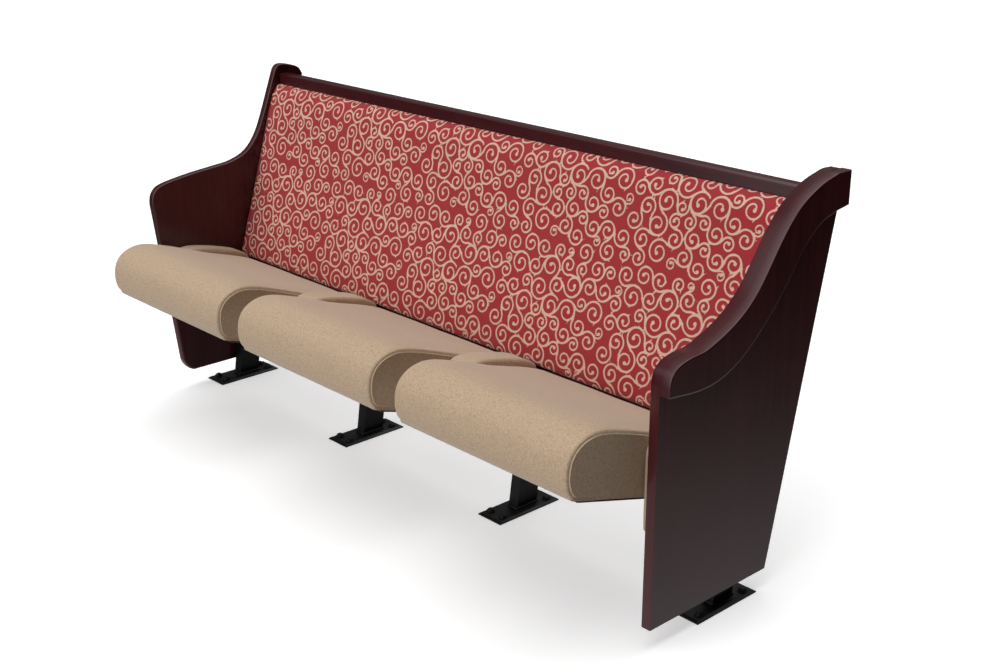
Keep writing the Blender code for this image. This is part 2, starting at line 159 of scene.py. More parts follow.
# Scroll pattern on the back cloth, one tile that repeats both ways
TILE = (0.345, 0.300)
CURLS = ((0.0270, 9), (0.0215, 14), (0.0165, 10))   # radius, how many
CURL_FILL = (0.0225, 0.0190, 0.0160, 0.0135, 0.0115, 0.0098)   # these then fill the room left
CURL_TRIES = 12
CURL_GAP = 0.0044                   # least distance between the centre lines of two curls
SCROLL_SEED = 7
STROKE = 0.0023                     # half the width of a line


# Meshes

def mesh_object(name, mesh):
    made = bpy.data.objects.new(name, mesh)
    bpy.context.scene.collection.objects.link(made)
    return made


def baked(piece):
    """Replace a piece's mesh with what its modifiers make of it."""
    depsgraph = bpy.context.evaluated_depsgraph_get()
    mesh = bpy.data.meshes.new_from_object(piece.evaluated_get(depsgraph))
    piece.modifiers.clear()
    piece.data = mesh
    return piece


def points_of(piece):
    co = np.empty(len(piece.data.vertices) * 3)
    piece.data.vertices.foreach_get("co", co)
    return co.reshape(-1, 3)


def move_points(piece, co):
    piece.data.vertices.foreach_set("co", co.ravel())
    piece.data.update()


def skin(name, rings, wrapped=False):
    """A mesh through closed rings of points, capped at both ends unless it is wrapped round."""
    rings = np.asarray(rings, float)
    count, around = rings.shape[:2]
    faces = []
    for r in range(count if wrapped else count - 1):
        near = r * around
        far = (r + 1) % count * around
        faces += [(near + i, near + (i + 1) % around, far + (i + 1) % around, far + i)
                  for i in range(around)]
    if not wrapped:
        faces.append(tuple(reversed(range(around))))
        faces.append(tuple(range((count - 1) * around, count * around)))
    mesh = bpy.data.meshes.new(name)
    mesh.from_pydata(rings.reshape(-1, 3).tolist(), [], faces)
    bm = bmesh.new()
    bm.from_mesh(mesh)
    bmesh.ops.recalc_face_normals(bm, faces=bm.faces)
    bm.to_mesh(mesh)
    bm.free()
    mesh.shade_smooth()
    return mesh_object(name, mesh)


# Outlines in the (y, z) plane

def section(node, x):
    """The node's outline where a plane across the pew cuts it, anticlockwise, as an array."""
    bm = bmesh.new()
    bm.from_mesh(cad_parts[node].data)
    bmesh.ops.remove_doubles(bm, verts=bm.verts, dist=0.00002)
    bmesh.ops.bisect_plane(bm, geom=bm.verts[:] + bm.edges[:] + bm.faces[:], plane_co=(x, 0, 0),
                           plane_no=(1, 0, 0), clear_inner=True, clear_outer=True)
    left = dict.fromkeys(bm.edges)        # in order, where a set would start anywhere
    loops = []
    while left:
        edge = left.popitem()[0]
        loop = [edge.verts[0]]
        at = edge.verts[1]
        while at is not loop[0]:
            loop.append(at)
            edge = next(e for e in at.link_edges if e in left)
            del left[edge]
            at = edge.other_vert(at)
        loops.append(np.array([v.co.yz for v in loop]))
    bm.free()
    outline = max(loops, key=lambda loop: np.ptp(loop, axis=0).sum())
    if area(outline) < 0:
        outline = outline[::-1]
    return without_straight_points(outline)


def middle_section(node):
    """The node's outline halfway along its own width."""
    low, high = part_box(node)
    return section(node, (low.x + high.x) / 2)


def area(loop):
    after = np.roll(loop, -1, axis=0)
    return float((loop[:, 0] * after[:, 1] - loop[:, 1] * after[:, 0]).sum()) / 2


def turning(loop):
    """The angle by which the outline turns at each point, and the length of the step after it."""
    step = np.roll(loop, -1, axis=0) - loop
    heading = np.arctan2(step[:, 1], step[:, 0])
    turn = (heading - np.roll(heading, 1) + math.pi) % (2 * math.pi) - math.pi
    return turn, np.hypot(step[:, 0], step[:, 1])


def without_straight_points(loop, least=math.radians(0.4)):
    while True:
        turn, length = turning(loop)
        keep = (np.abs(turn) > least) & (length > 0.0001)
        if keep.all():
            return loop
        loop = loop[keep]


def smooth(loop, spacing, corner=CORNER, clear=0.0):
    """Curve a closed outline through its own points, leaving its corners and long straights.

    No other point is left closer to a corner than clear.
    """
    turn, length = turning(loop)
    count = len(loop)
    headings = (np.roll(loop, -1, axis=0) - loop) / length[:, None]
    line = []
    for i in range(count):
        j = (i + 1) % count
        tangents = []
        for k, before, after in ((i, i - 1, i), (j, i, j)):
            if abs(turn[k]) > corner:
                tangent = headings[i]
            elif max(length[before], length[after]) > 3 * min(length[before], length[after]):
                tangent = headings[before if length[before] > length[after] else after]
            else:
                tangent = headings[before] * length[after] + headings[after] * length[before]
                tangent = tangent / np.linalg.norm(tangent)
            tangents.append(tangent * length[i])
        steps = max(1, math.ceil(length[i] / spacing))
        for step in range(steps):
            t = step / steps
            line.append(loop[i] * (2 * t ** 3 - 3 * t ** 2 + 1) + loop[j] * (3 * t ** 2 - 2 * t ** 3)
                        + tangents[0] * (t ** 3 - 2 * t ** 2 + t) + tangents[1] * (t ** 3 - t ** 2))
    line = np.array(line)
    for sharp in loop[np.abs(turn) > corner]:
        away = np.linalg.norm(line - sharp, axis=1)
        line = line[(away < 1e-9) | (away > clear)]
    return line


def offset(loop, distance):
    """The outline moved outwards by a distance, or inwards where it is negative."""
    step = np.roll(loop, -1, axis=0) - loop
    normal = np.stack((step[:, 1], -step[:, 0]), axis=1)
    normal /= np.linalg.norm(normal, axis=1)[:, None]
    before = np.roll(normal, 1, axis=0)
    spread = 1 + (normal * before).sum(axis=1)
    return loop + (normal + before) / np.maximum(spread, 0.3)[:, None] * distance


def slab(name, loop, low, high, edges, steps=4, middles=()):
    """An outline carried along x from low to high, with its two side edges rounded over."""
    support = 0.0012
    near, far = edges
    turns = [math.pi / 2 * i / steps for i in range(steps + 1)]
    places = [(low, 0)]
    if near:
        places = [(low, near + support)]
        places += [(low + near * (1 - math.cos(t)), near * (1 - math.sin(t))) for t in turns]
    places += [(x, 0) for x in middles]
    if far:
        places += [(high - far * (1 - math.cos(t)), far * (1 - math.sin(t))) for t in reversed(turns)]
        places.append((high, far + support))
    else:
        places.append((high, 0))
    rings = []
    for x, inset in places:
        ring = offset(loop, -inset)
        rings.append(np.column_stack((np.full(len(ring), x), ring)))
    return skin(name, rings)


# Cloth

def remeshed(piece, voxel):
    grid = piece.modifiers.new("voxels", "REMESH")
    grid.mode = "VOXEL"
    grid.voxel_size = voxel
    grid.use_smooth_shade = True
    return baked(piece)


def swelling(cover, cap, pinned=None):
    """Swell a closed cover by a cloth simulation, and say how far it moved, and where.

    The cover is used up. pinned says, for arrays of points and normals, which are held still.
    No point moves further than cap, and none moves inwards.
    """
    start = points_of(cover)
    normals = np.array([v.normal for v in cover.data.vertices])
    cloth = cover.modifiers.new("cover", "CLOTH")
    cloth.settings.quality = 5
    cloth.settings.use_pressure = True
    cloth.settings.uniform_pressure_force = PRESSURE
    cloth.settings.effector_weights.gravity = 0
    cloth.point_cache.frame_start = 1
    cloth.point_cache.frame_end = FRAMES
    if pinned is not None:
        group = cover.vertex_groups.new(name="held")
        group.add([int(i) for i in np.flatnonzero(pinned(start, normals))], 1, "REPLACE")
        cloth.settings.vertex_group_mass = "held"
    scene = bpy.context.scene
    for step in range(1, FRAMES + 1):
        scene.frame_set(step)
    baked(cover)
    scene.frame_set(1)
    moved = points_of(cover) - start
    edges = np.empty(len(cover.data.edges) * 2, int)
    cover.data.edges.foreach_get("vertices", edges)
    edges = edges.reshape(-1, 2)
    bpy.data.objects.remove(cover)
    out = np.clip((moved * normals).sum(axis=1), 0, cap)
    ends = np.concatenate((edges, edges[:, ::-1]))
    around = np.bincount(ends[:, 0], minlength=len(out))
    for _ in range(EVENING):
        mean = np.bincount(ends[:, 0], weights=out[ends[:, 1]], minlength=len(out)) / around
        out = (out + mean) / 2
    moved = normals * out[:, None]
    tree = kdtree.KDTree(len(start))
    for i, place in enumerate(start):
        tree.insert(place, i)
    tree.balance()
    return tree, moved


def swollen(points, swell):
    """Move points as the simulated cover near them moved."""
    tree, moved = swell
    made = points.copy()
    for k, place in enumerate(points):
        found = tree.find_n(place, NEIGHBOURS)
        weights = np.array([1 / (distance + NEAREST) for _, _, distance in found])
        shifts = moved[[index for _, index, _ in found]]
        made[k] += (weights[:, None] * shifts).sum(axis=0) / weights.sum()
    return made


def upholstered(name, loop, low, high, sizes):
    """A cover over a block of foam: a close mesh, swollen like a simulated coarse copy of it."""
    shrink, edge, cell, voxel, cap = sizes
    inner = offset(loop, -shrink)
    ends = (low + shrink, high - shrink)
    middles = np.arange(ends[0] + edge, ends[1] - edge, cell)[1:]
    piece = slab(name, inner, *ends, (edge, edge), 4, middles)
    coarse = slab("coarse", inner, *ends, (edge, edge), 3)
    move_points(piece, swollen(points_of(piece), swelling(remeshed(coarse, voxel), cap)))
    co = points_of(piece)
    co[:, 0] = np.clip(co[:, 0], low, high)
    co[:len(loop), 0] = low
    co[-len(loop):, 0] = high
    move_points(piece, co)
    return piece


def cut_with(piece, cutters):
    """Take closed cutters away from a piece, and remove them."""
    for cutter in cutters:
        hole = piece.modifiers.new("cut", "BOOLEAN")
        hole.operation = "DIFFERENCE"
        hole.solver = "EXACT"
        hole.object = cutter
    baked(piece)
    for cutter in cutters:
        bpy.data.objects.remove(cutter)
    piece.data.shade_smooth()
    piece.data.set_sharp_from_angle(angle=CREASE)
    return piece


# Node materials

def new_node(tree, kind, inputs=None, **settings):
    """A node whose inputs are linked where a socket is given, and set where a value is."""
    made = tree.nodes.new(kind)
    for key, value in settings.items():
        setattr(made, key, value)
    for key, value in (inputs or {}).items():
        if isinstance(value, bpy.types.NodeSocket):
            tree.links.new(value, made.inputs[key])
        else:
            made.inputs[key].default_value = value
    return made


class Graph:
    """A short way to write a material's nodes."""

    def __init__(self, name, **sockets):
        self.made = bpy.data.materials.new(name)
        self.made.use_nodes = True
        self.tree = self.made.node_tree
        self.shader = self.tree.nodes["Principled BSDF"]
        for key, value in sockets.items():
            self.shader.inputs[key.replace("_", " ")].default_value = value
        self.place = self.node("ShaderNodeTexCoord").outputs["Object"]

    def node(self, kind, inputs=None, **settings):
        return new_node(self.tree, kind, inputs, **settings)

    def scaled(self, scale, turn=(0, 0, 0), shift=(0, 0, 0)):
        scale = scale if isinstance(scale, tuple) else (scale,) * 3
        inputs = {"Vector": self.place, "Scale": scale, "Rotation": turn, "Location": shift}
        return self.node("ShaderNodeMapping", inputs).outputs[0]

    def noise(self, scale, detail, roughness, distortion=0.0, shift=(0, 0, 0)):
        """Noise with a scale in waves per metre, one for all axes or one for each."""
        inputs = {"Vector": self.scaled(scale, shift=shift), "Scale": 1.0, "Detail": detail,
                  "Roughness": roughness, "Distortion": distortion}
        return self.node("ShaderNodeTexNoise", inputs).outputs["Fac"]

    def cells(self, scale):
        inputs = {"Vector": self.scaled(scale), "Scale": 1.0}
        return self.node("ShaderNodeTexVoronoi", inputs).outputs["Distance"]

    def math(self, operation, first, second=0.5):
        return self.node("ShaderNodeMath", {0: first, 1: second}, operation=operation).outputs[0]

    def span(self, value, low, high, to_low=0.0, to_high=1.0, smooth_step=False):
        inputs = {"Value": value, "From Min": low, "From Max": high, "To Min": to_low, "To Max": to_high}
        kind = "SMOOTHSTEP" if smooth_step else "LINEAR"
        return self.node("ShaderNodeMapRange", inputs, interpolation_type=kind).outputs[0]

    def mix(self, factor, first, second):
        """One colour mixed into another."""
        return self.node("ShaderNodeMix", {0: factor, 6: first, 7: second}, data_type="RGBA").outputs[2]

    def bump(self, height, distance, strength, under=None):
        inputs = {"Height": height, "Distance": distance, "Strength": strength}
        if under is not None:
            inputs["Normal"] = under
        return self.node("ShaderNodeBump", inputs).outputs[0]

    def finish(self, **links):
        for key, socket in links.items():
            self.tree.links.new(socket, self.shader.inputs[key.replace("_", " ")])
        return self.made


def stained_wood(name, seed, lengthwise=False):
    """Dark red-brown stained hardwood under satin lacquer.

    The grain runs along x where the piece is lengthwise. Otherwise it stands upright on faces
    that look along x, and follows the edge on all others.
    """
    g = Graph(name, IOR=1.47, Coat_Weight=0.10, Coat_Roughness=0.12)
    facing = g.node("ShaderNodeTexCoord").outputs["Normal"]
    across = g.node("ShaderNodeSeparateXYZ", {0: facing}).outputs["X"]
    face = g.span(g.math("ABSOLUTE", across), 0.55, 0.75)
    shift = (seed * 3.1, seed * 1.7, seed * 2.3)

    def grain(fine, length, detail, distortion=0.0):
        if lengthwise:
            return g.noise((length, fine, fine), detail, 0.58, distortion, shift)
        upright = g.scaled((fine, fine, length), shift=shift)
        along = g.scaled((fine, length, length), shift=shift)
        place = g.node("ShaderNodeMix", {0: face, 4: along, 5: upright}, data_type="VECTOR").outputs[1]
        inputs = {"Vector": place, "Scale": 1.0, "Detail": detail, "Roughness": 0.58,
                  "Distortion": distortion}
        return g.node("ShaderNodeTexNoise", inputs).outputs["Fac"]

    figure = grain(9, 0.9, 2, 1.2)
    streaks = grain(75, 2.0, 5, 0.4)
    fine = grain(430, 8, 3)
    pores = g.span(grain(900, 24, 2), 0.60, 0.70)
    clouds = g.noise(7, 3, 0.5, 0.6, shift)
    colour = g.mix(g.span(figure, 0.3, 0.7), WOOD_DARK, WOOD_MIDDLE)
    colour = g.mix(g.span(streaks, 0.40, 0.72, 0, 0.55), colour, WOOD_LIGHT)
    colour = g.mix(g.span(clouds, 0.45, 0.75, 0, 0.45), colour, WOOD_LIGHT)
    colour = g.mix(g.span(fine, 0.35, 0.75, 0, 0.30), colour, WOOD_DARK)
    colour = g.mix(g.math("MULTIPLY", pores, 0.45), colour, WOOD_PORE)
    gloss = g.span(streaks, 0.2, 0.8, 0.20, 0.28)
    relief = g.bump(g.math("SUBTRACT", streaks, g.math("MULTIPLY", pores, 0.5)), 0.00016, 0.30)
    return g.finish(Base_Color=colour, Roughness=gloss, Normal=relief)


def tan_cloth(name):
    """Felted tan upholstery cloth: a mottled two-tone yarn with a short nap."""
    g = Graph(name, Roughness=0.95, Sheen_Weight=0.55, Sheen_Roughness=0.38,
              Sheen_Tint=(1.0, 0.93, 0.90, 1), Specular_IOR_Level=0.12)
    yarn = g.noise(620, 3, 0.7)
    blotch = g.noise(250, 3, 0.65)
    broad = g.noise(11, 2, 0.5)
    threads = g.cells(830)
    colour = g.mix(g.span(yarn, 0.34, 0.68), (0.355, 0.248, 0.155, 1), (0.590, 0.455, 0.330, 1))
    colour = g.mix(g.span(blotch, 0.42, 0.60, 0, 0.60), colour, (0.600, 0.445, 0.305, 1))
    colour = g.mix(g.span(blotch, 0.42, 0.34, 0, 0.60), colour, (0.330, 0.235, 0.152, 1))
    colour = g.mix(g.span(broad, 0.3, 0.7, 0, 0.20), colour, (0.435, 0.320, 0.220, 1))
    colour = g.mix(g.span(threads, 0.15, 0.75, 0.30, 0), colour, (0.270, 0.180, 0.100, 1))
    nap = g.bump(threads, 0.0005, 0.50)
    nap = g.bump(blotch, 0.0012, 0.20, nap)
    return g.finish(Base_Color=colour, Normal=nap)


def scroll_cloth(name, tilt):
    """Woven red cloth with pale gold scrolls, where the mesh's scroll attribute is negative."""
    g = Graph(name, Roughness=0.88, Sheen_Weight=0.15, Sheen_Roughness=0.5,
              Sheen_Tint=(1.0, 0.78, 0.70, 1), Specular_IOR_Level=0.22)
    turn = (-tilt, 0, 0)
    inputs = {"Vector": g.scaled(1, turn), "Scale": 300.0, "Distortion": 0.5,
              "Detail": 1.0, "Detail Scale": 3.0}
    weft = g.node("ShaderNodeTexWave", inputs, bands_direction="Z", wave_profile="SIN").outputs["Fac"]
    warp = g.node("ShaderNodeTexWave", inputs, bands_direction="X", wave_profile="SIN").outputs["Fac"]
    weave = g.math("MULTIPLY", weft, warp)
    ragged = g.noise(520, 2, 0.6)
    edge = g.node("ShaderNodeAttribute", attribute_name="scroll").outputs["Fac"]
    edge = g.math("ADD", edge, g.span(ragged, 0.2, 0.8, -0.35, 0.35))
    gold = g.span(edge, 0.30, -0.30, smooth_step=True)
    halo = g.span(edge, 1.6, 0.2, 0, 0.35)
    broad = g.noise(16, 2, 0.5)
    fleck = g.noise(700, 2, 0.65)
    red = g.mix(g.span(fleck, 0.3, 0.7), (0.325, 0.016, 0.024, 1), (0.435, 0.031, 0.041, 1))
    red = g.mix(halo, red, (0.250, 0.022, 0.028, 1))
    pale = g.mix(g.span(fleck, 0.3, 0.7), (0.690, 0.445, 0.320, 1), (0.900, 0.630, 0.490, 1))
    colour = g.mix(gold, red, pale)
    colour = g.mix(g.span(weave, 0.0, 0.6, 0.25, 0), colour, (0.180, 0.030, 0.034, 1))
    colour = g.mix(g.span(broad, 0.3, 0.7, 0, 0.10), colour, (0.250, 0.060, 0.060, 1))
    relief = g.bump(g.math("ADD", weave, g.math("MULTIPLY", gold, 0.6)), 0.00035, 0.6)
    return g.finish(Base_Color=colour, Normal=relief)


def painted_steel(name):
    """Black powder coat: a faint orange peel, and scattered patches rubbed a little greyer."""
    g = Graph(name, Specular_IOR_Level=0.30)
    peel = g.noise(900, 2, 0.5)
    scuff = g.span(g.noise(60, 6, 0.7), 0.58, 0.78)
    dust = g.span(g.noise(22, 4, 0.6), 0.40, 0.75)
    colour = g.mix(g.math("MULTIPLY", dust, 0.5), (0.0030, 0.0030, 0.0034, 1), (0.0070, 0.0070, 0.0078, 1))
    colour = g.mix(g.math("MULTIPLY", scuff, 0.30), colour, (0.020, 0.020, 0.022, 1))
    gloss = g.span(dust, 0, 1, 0.42, 0.58)
    return g.finish(Base_Color=colour, Roughness=gloss, Normal=g.bump(peel, 0.0004, 0.25))


def bare_steel(name, base, roughness):
    """Turned or plated steel with fine marks round it."""
    g = Graph(name, Metallic=1.0)
    marks = g.noise((1500, 160, 160), 3, 0.6)
    stain = g.noise(120, 4, 0.6)
    dark = tuple(c * 0.55 for c in base) + (1,)
    colour = g.mix(g.span(stain, 0.4, 0.7), base + (1,), dark)
    gloss = g.span(marks, 0.3, 0.7, roughness - 0.08, roughness + 0.10)
    return g.finish(Base_Color=colour, Roughness=gloss, Normal=g.bump(marks, 0.0001, 0.3))


def pan_board(name):
    """The seat's underside: plywood with a dark red-brown stain, dulled by handling."""
    g = Graph(name, IOR=1.4)
    streaks = g.noise((6, 90, 90), 5, 0.6, 0.5)
    rub = g.noise(25, 4, 0.6)
    colour = g.mix(g.span(streaks, 0.35, 0.7), (0.030, 0.0095, 0.0095, 1), (0.075, 0.024, 0.020, 1))
    gloss = g.span(rub, 0.3, 0.7, 0.45, 0.68)
    return g.finish(Base_Color=colour, Roughness=gloss, Normal=g.bump(streaks, 0.0003, 0.3))


def nylon(name):
    g = Graph(name, Roughness=0.42, Subsurface_Weight=0.1)
    grime = g.noise(180, 4, 0.6)
    colour = g.mix(g.span(grime, 0.35, 0.75), (0.74, 0.72, 0.66, 1), (0.50, 0.47, 0.41, 1))
    return g.finish(Base_Color=colour, Normal=g.bump(grime, 0.0002, 0.2))


def pale_floor(name):
    g = Graph(name, Roughness=0.8, Specular_IOR_Level=0.1, Emission_Color=(1, 1, 1, 1),
              Emission_Strength=FLOOR_GLOW)
    tone = g.noise(1.5, 3, 0.5)
    colour = g.mix(g.span(tone, 0.3, 0.7), (0.90, 0.90, 0.90, 1), (0.93, 0.93, 0.93, 1))
    return g.finish(Base_Color=colour)


def dress(piece, material):
    piece.data.materials.clear()
    piece.data.materials.append(material)
    return piece


def add(piece, material, body, slot, *nodes):
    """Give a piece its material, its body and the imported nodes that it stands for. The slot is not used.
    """
    dress(piece, material)
    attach(piece, body)
    if nodes:
        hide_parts(*nodes)
    return piece


# Scrolls

class Curl:
    """A line that comes in on a circle's rim and winds inwards to a round bud."""

    def __init__(self, centre, radius, spin, start):
        self.centre = centre
        self.radius = radius
        self.spin = spin
        self.start = start
        self.turns = 0.95 + 0.62 * radius / 0.030
        self.bud = 0.0034 + radius * 0.045
        self.end = 0.0026 + radius * 0.09
        self.half = STROKE if radius > 0.015 else STROKE * 0.86

    def reach(self, turn):
        done = min(1.0, max(0.0, turn / self.turns))
        return self.radius - (self.radius - self.end) * done ** 1.35

    def angle(self, turn):
        return self.start + self.spin * 2 * math.pi * turn

    def at(self, turn):
        angle, reach = self.angle(turn), self.reach(turn)
        return (self.centre[0] + reach * math.cos(angle), self.centre[1] + reach * math.sin(angle))

    def heading(self, turn):
        ahead, behind = self.at(turn + 0.01), self.at(turn - 0.01)
        length = math.dist(ahead, behind)
        return ((ahead[0] - behind[0]) / length, (ahead[1] - behind[1]) / length)

    def turn_at(self, angle):
        return (self.spin * (angle - self.start) / (2 * math.pi)) % 1


def beside_two(places, radii, radius):
    """Every centre at which a circle touches one earlier circle and stands just off another."""
    tile = np.array(TILE)
    near = radii[:, None] + radius
    far = radii[None, :] + radius + CURL_GAP
    found = []
    for shift in ((i, j) for i in (-1, 0, 1) for j in (-1, 0, 1)):
        apart = places[None, :] + tile * shift - places[:, None]
        length = np.hypot(apart[..., 0], apart[..., 1])
        with np.errstate(all="ignore"):
            along = (length ** 2 + near ** 2 - far ** 2) / (2 * length)
            aside = np.sqrt(near ** 2 - along ** 2)
            unit = apart / length[..., None]
        for side in (-1, 1):
            normal = np.stack((-unit[..., 1], unit[..., 0]), axis=-1) * side
            centre = places[:, None] + unit * along[..., None] + normal * aside[..., None]
            parent, _ = np.nonzero(np.isfinite(aside))
            found.append(np.column_stack((centre[np.isfinite(aside)], parent)))
    return np.concatenate(found)


def grow_scrolls(rng):
    """Curls packed close, each branching from one that it touches and turning the other way."""
    tile = np.array(TILE)
    curls = [Curl(tuple(tile / 2), CURLS[0][0], 1, 0.7)]
    lines = []
    order = [radius for radius, most in CURLS for _ in range(most)]
    rng.shuffle(order)
    for radius in order + [r for r in CURL_FILL for _ in range(CURL_TRIES)]:
        places = np.array([c.centre for c in curls])
        radii = np.array([c.radius for c in curls])
        found = beside_two(places, radii, radius) if len(curls) > 1 else np.array(
            [[places[0][0] + radii[0] + radius, places[0][1], 0]])
        away = (found[:, None, :2] - places[None] + tile / 2) % tile - tile / 2
        rooms = np.hypot(away[..., 0], away[..., 1]) - radii - radius
        rooms[np.arange(len(found)), found[:, 2].astype(int)] = 1
        open_to = found[rooms.min(axis=1) > CURL_GAP - 1e-6]
        if not len(open_to):
            continue
        middle = (open_to[:, :2] - tile / 2 + tile / 2) % tile - tile / 2
        score = np.hypot(middle[:, 0], middle[:, 1])
        choice = open_to[np.argmin(score)]
        parent = curls[int(choice[2])]
        angle = math.atan2(choice[1] - parent.centre[1], choice[0] - parent.centre[0])
        curl = Curl(tuple(choice[:2]), radius, -parent.spin, angle + math.pi)
        turn = parent.turn_at(angle)
        lines.append(branch(parent, turn, curl))
        curls.append(curl)
    return curls, lines


def branch(parent, turn, curl):
    """A line that leaves the parent's rim smoothly and joins the new curl's rim."""
    leave = max(0.01, turn - 0.10 - 0.10 * turn)
    a, d = parent.at(leave), curl.at(0.04)
    span = math.dist(a, d) * 0.40
    ha, hd = parent.heading(leave), curl.heading(0.04)
    b = (a[0] + ha[0] * span, a[1] + ha[1] * span)
    c = (d[0] - hd[0] * span, d[1] - hd[1] * span)
    line = []
    for i in range(41):
        t = i / 40
        weights = ((1 - t) ** 3, 3 * t * (1 - t) ** 2, 3 * t * t * (1 - t), t ** 3)
        x, y = (sum(w * p[k] for w, p in zip(weights, (a, b, c, d))) for k in (0, 1))
        line.append((x, y, curl.half))
    return line


def thorn(curl, turn, side):
    """A short pointed spur that leaves the line at a slant."""
    x, y = curl.at(turn)
    hx, hy = curl.heading(turn)
    line = []
    for i in range(21):
        t = i / 20
        slant = side * math.radians(16 + 34 * t)
        step = 0.0007
        x += step * (hx * math.cos(slant) - hy * math.sin(slant))
        y += step * (hx * math.sin(slant) + hy * math.cos(slant))
        line.append((x, y, STROKE * (0.86 - 0.72 * t)))
    return line


def on_every_tile(samples):
    """Samples (x, y, half width) on one tile, with those just over its edges repeated."""
    samples = np.array(samples)
    samples[:, :2] %= TILE
    margin = 0.012
    copies = []
    for i in (-1, 0, 1):
        for j in (-1, 0, 1):
            moved = samples + (i * TILE[0], j * TILE[1], 0)
            near = ((moved[:, :2] > -margin) & (moved[:, :2] < np.array(TILE) + margin)).all(axis=1)
            copies.append(moved[near])
    return np.concatenate(copies)


def scroll_field(points):
    """For points (across, up) on the cloth, the distance outside the nearest line, in mm."""
    rng = random.Random(SCROLL_SEED)
    curls, branches = grow_scrolls(rng)
    lines = [p for line in branches for p in line]
    thorns = []
    buds = []
    for curl in curls:
        steps = int(curl.turns * 2 * math.pi * curl.radius / 0.0009)
        turns = [curl.turns * i / steps for i in range(steps + 1)]
        lines += [(*curl.at(t), curl.half * (1 - 0.16 * t / curl.turns)) for t in turns]
        buds.append((*curl.at(curl.turns), curl.bud))
        if curl.radius > 0.014:
            for low, high in ((0.08, 0.40), (0.45, 0.80)):
                thorns += thorn(curl, rng.uniform(low, high), rng.choice((-1, 1)))
    field = np.full(len(points), 9.0)
    for samples in (lines, thorns, buds):
        samples = on_every_tile(samples)
        tree = kdtree.KDTree(len(samples))
        for i, (x, y, _) in enumerate(samples):
            tree.insert((x, y, 0), i)
        tree.balance()
        for k, (x, y) in enumerate(points % TILE):
            _, index, distance = tree.find((x, y, 0))
            field[k] = min(field[k], (distance - samples[index, 2]) * 1000)
    return field


# Pieces

def wooden_ends(wood):
    """The two ends. The right end's cap is glued on, so its joint has no rounded edges."""
    ends = {"left_end_panel": (LEFT_ROUND, LEFT_ROUND), "right_end_panel": (RIGHT_ROUND, 0),
            "right_end_cap": (0, CAP_ROUND)}
    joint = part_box("right_end_panel")[1].x
    for node, edges in ends.items():
        low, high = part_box(node)
        loop = smooth(middle_section(node), END_CELL)
        start = joint if node == "right_end_cap" else low.x
        piece = slab(node + "_wood", loop, start, high.x, edges)
        piece.data.set_sharp_from_angle(angle=CREASE)
        add(piece, wood, "frame", "wood", node)


def block(low, high):
    """A plain box to cut with."""
    corners = [(low.y, low.z), (high.y, low.z), (high.y, high.z), (low.y, high.z)]
    return slab("cutter", np.array(corners), low.x, high.x, (0, 0))


def rails(wood):
    """The top rail, and the board behind the pad, notched over the standards' heads."""
    low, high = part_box("top_rail")
    loop = smooth(section("top_rail", 0), RAIL_CELL, BLUNT)
    piece = slab("top_rail_wood", loop, low.x, high.x, (RAIL_END_ROUND, RAIL_END_ROUND), 3)
    add(piece, wood, "frame", "wood", "top_rail")
    low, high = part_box("back_board")
    loop = section("back_board", 0)
    piece = slab("back_board_wood", loop, low.x, high.x, (BOARD_ROUND, BOARD_ROUND), 3)
    cutters = []
    for number in range(1, STANDARDS + 1):
        post_low, post_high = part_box(f"standard_{number}")
        top = section("back_board", (post_low.x + post_high.x) / 2)[:, 1].min()
        cutters.append(block(Vector((post_low.x - NOTCH_MARGIN, low.y - CUT_OVERRUN, low.z - CUT_OVERRUN)),
                             Vector((post_high.x + NOTCH_MARGIN, high.y, top))))
    add(cut_with(piece, cutters), wood, "frame", "wood", "back_board")


def along_outline(outline):
    """The length of the outline up to each of its points."""
    steps = np.linalg.norm(np.diff(outline, axis=0), axis=1)
    return np.concatenate(([0], np.cumsum(steps)))


def evenly(outline, spacing):
    """An open line's points put at an even spacing."""
    length = along_outline(outline)
    count = max(2, round(length[-1] / spacing) + 1)
    at = np.linspace(0, length[-1], count)
    return np.column_stack([np.interp(at, length, outline[:, k]) for k in (0, 1)])


def back_cloth():
    """The long back pad: a fine mesh that carries the scrolls, swollen like its cover."""
    node = "back_pad"
    low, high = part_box(node)
    loop = section(node, 0)
    fine = smooth(loop, PAD_OUTLINE, BLUNT)
    top = int(np.argmax(fine[:, 1] - fine[:, 0] * 0.2))
    bottom = int(np.argmin(fine[:, 1] + fine[:, 0] * 0.2))
    front = np.roll(fine, -top, axis=0)
    front = front[:(bottom - top) % len(fine) + 1][::-1]
    rear_low = fine[np.argmin(fine[:, 1] - fine[:, 0])]
    rear_high = fine[np.argmax(fine[:, 1] + fine[:, 0])]
    tilt = math.atan2(rear_high[0] - rear_low[0], rear_high[1] - rear_low[1])
    front = evenly(front, PAD_CELL)
    rear = evenly(np.array([rear_high, rear_low]), PAD_REAR_CELL)
    outline = np.concatenate((front, rear))
    across = np.arange(low.x + PAD_EDGE, high.x - PAD_EDGE, PAD_CELL)[1:]
    piece = slab("back_pad_cloth", outline, low.x, high.x, (PAD_EDGE, PAD_EDGE), 3, across)
    ring = len(outline)
    count = len(piece.data.vertices) // ring
    up = np.concatenate((along_outline(front), np.full(len(rear), along_outline(front)[-1])))
    co = points_of(piece)
    field = scroll_field(np.column_stack((co[:, 0] - low.x, np.tile(up, count))))
    edges = (PAD_COARSE_EDGE, PAD_COARSE_EDGE)
    cover = slab("pad_cover", loop, low.x + PAD_START, high.x - PAD_START, edges, 3)
    swell = swelling(remeshed(cover, PAD_VOXEL), PAD_CAP, lambda co, normals: normals[:, 1] > 0.2)
    move_points(piece, swollen(co, swell))
    scroll = piece.data.attributes.new("scroll", "FLOAT", "POINT")
    scroll.data.foreach_set("value", field.astype(np.float32))
    add(piece, scroll_cloth("scroll_cloth", tilt), "frame", "scroll_fabric", node)


